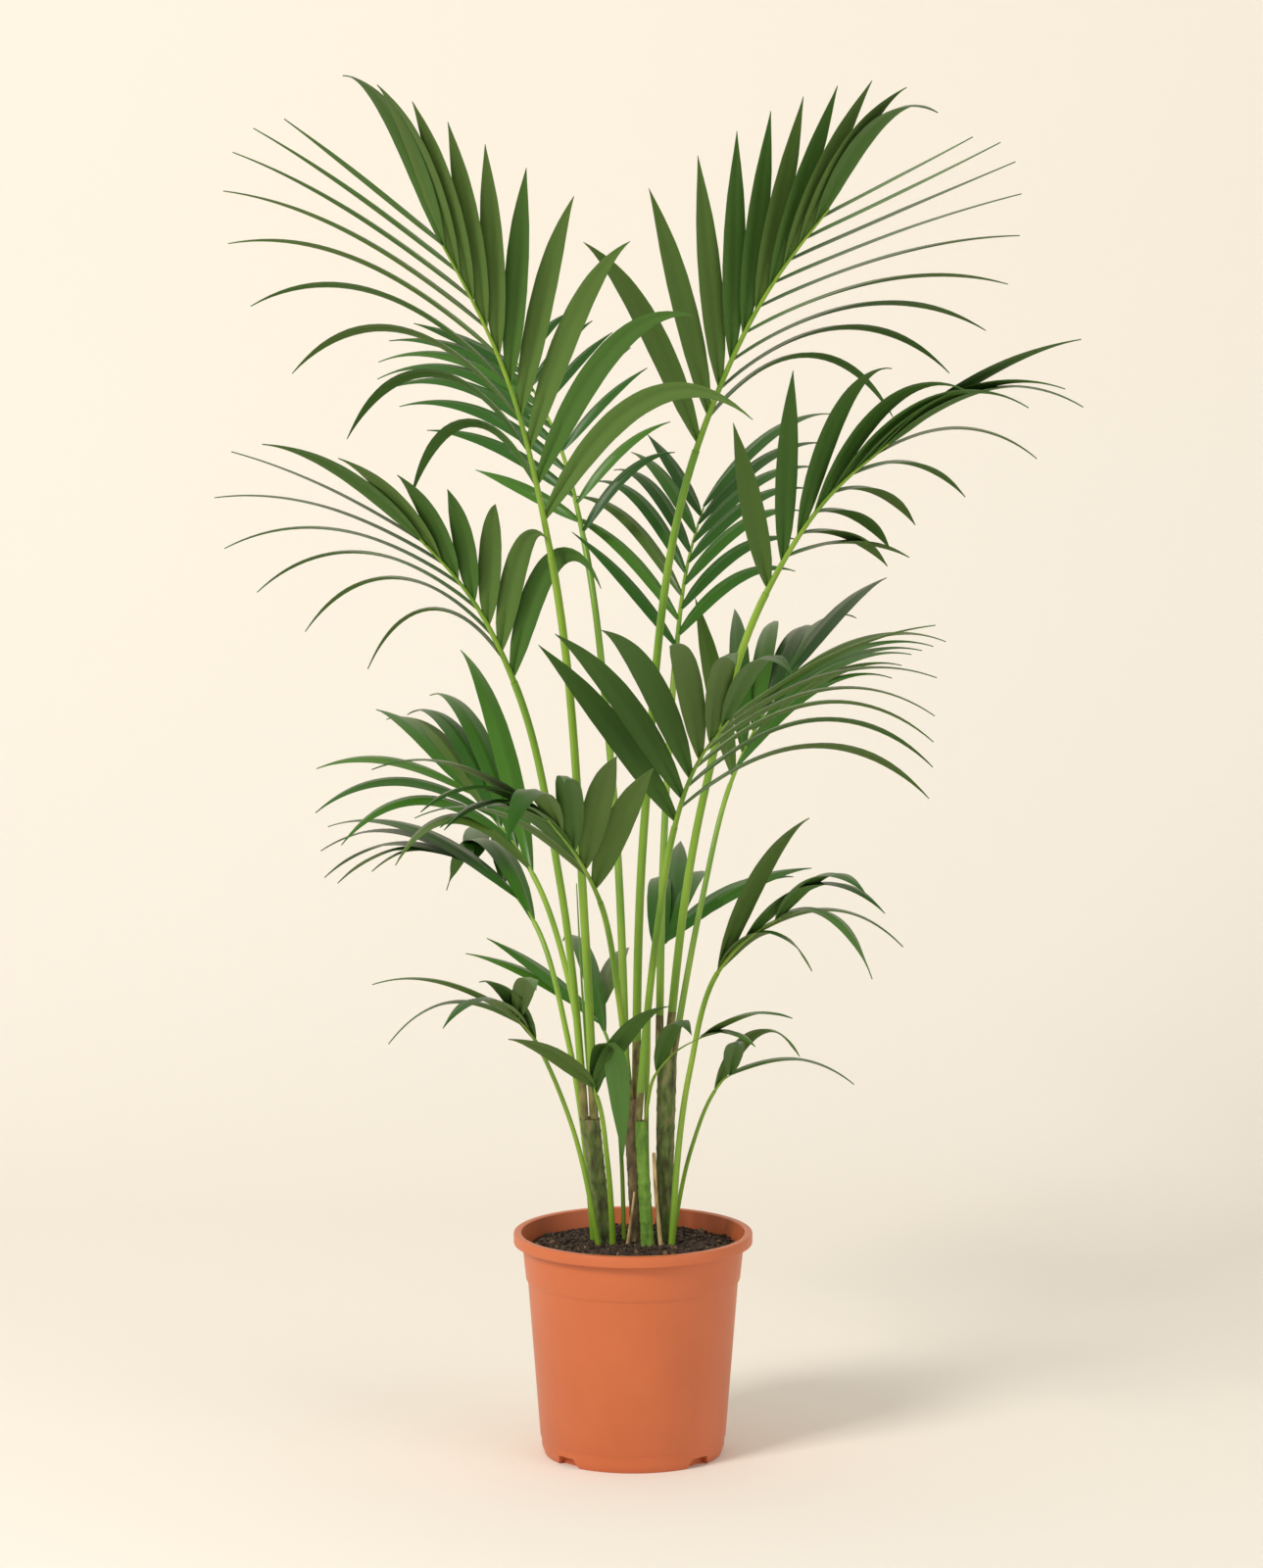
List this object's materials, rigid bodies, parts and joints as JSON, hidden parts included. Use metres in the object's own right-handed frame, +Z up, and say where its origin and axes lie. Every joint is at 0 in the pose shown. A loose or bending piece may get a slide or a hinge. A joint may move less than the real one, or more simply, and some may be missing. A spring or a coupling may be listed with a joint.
{
  "type": "potted kentia palm",
  "caption": "Potted kentia palm: arching feather-shaped fronds on slender green stalks, rising from clustered canes in a round plastic nursery pot filled with soil.",
  "frame": {"origin": "middle of the pot's flat underside, on the surface it stands on", "axes": "+Z up along the plant, -Y towards the front of the picture, +X to its right"},
  "size_m": [0.9098, 1.102, 1.5136],
  "materials": {
    "pot": "terracotta-coloured moulded plastic, semi-matte",
    "soil": "loose dark brown potting soil",
    "cane": "scurfy brown and green young stem",
    "dry": "dry papery sheath",
    "stalk": "smooth yellow-green leaf stalk",
    "leaf": "semi-gloss dark green leaflets, paler below"
  },
  "bodies": {
    "root": {"pot": "pot", "soil": "soil", "cane_left": "cane", "cane_middle": "cane", "cane_front": "cane", "cane_right": "cane", "spear": "dry", "cut_stub": "dry", "dry_sheath": "dry", "stalk_01": "stalk", "stalk_02": "stalk", "stalk_03": "stalk", "stalk_04": "stalk", "stalk_05": "stalk", "stalk_06": "stalk", "stalk_07": "stalk", "stalk_08": "stalk", "stalk_09": "stalk", "stalk_10": "stalk", "stalk_11": "stalk", "stalk_12": "stalk", "stalk_13": "stalk", "stalk_14": "stalk", "stalk_15": "stalk", "stalk_16": "stalk", "stalk_17": "stalk", "stalk_18": "stalk", "frond_01": "leaf", "frond_02": "leaf", "frond_03": "leaf", "frond_04": "leaf", "frond_05": "leaf", "frond_06": "leaf", "frond_07": "leaf", "frond_08": "leaf", "frond_09": "leaf", "frond_10": "leaf", "frond_11": "leaf", "frond_12": "leaf", "frond_13": "leaf", "frond_14": "leaf", "frond_15": "leaf", "frond_16": "leaf", "frond_17": "leaf", "frond_18": "leaf"}
  },
  "joints": []
}
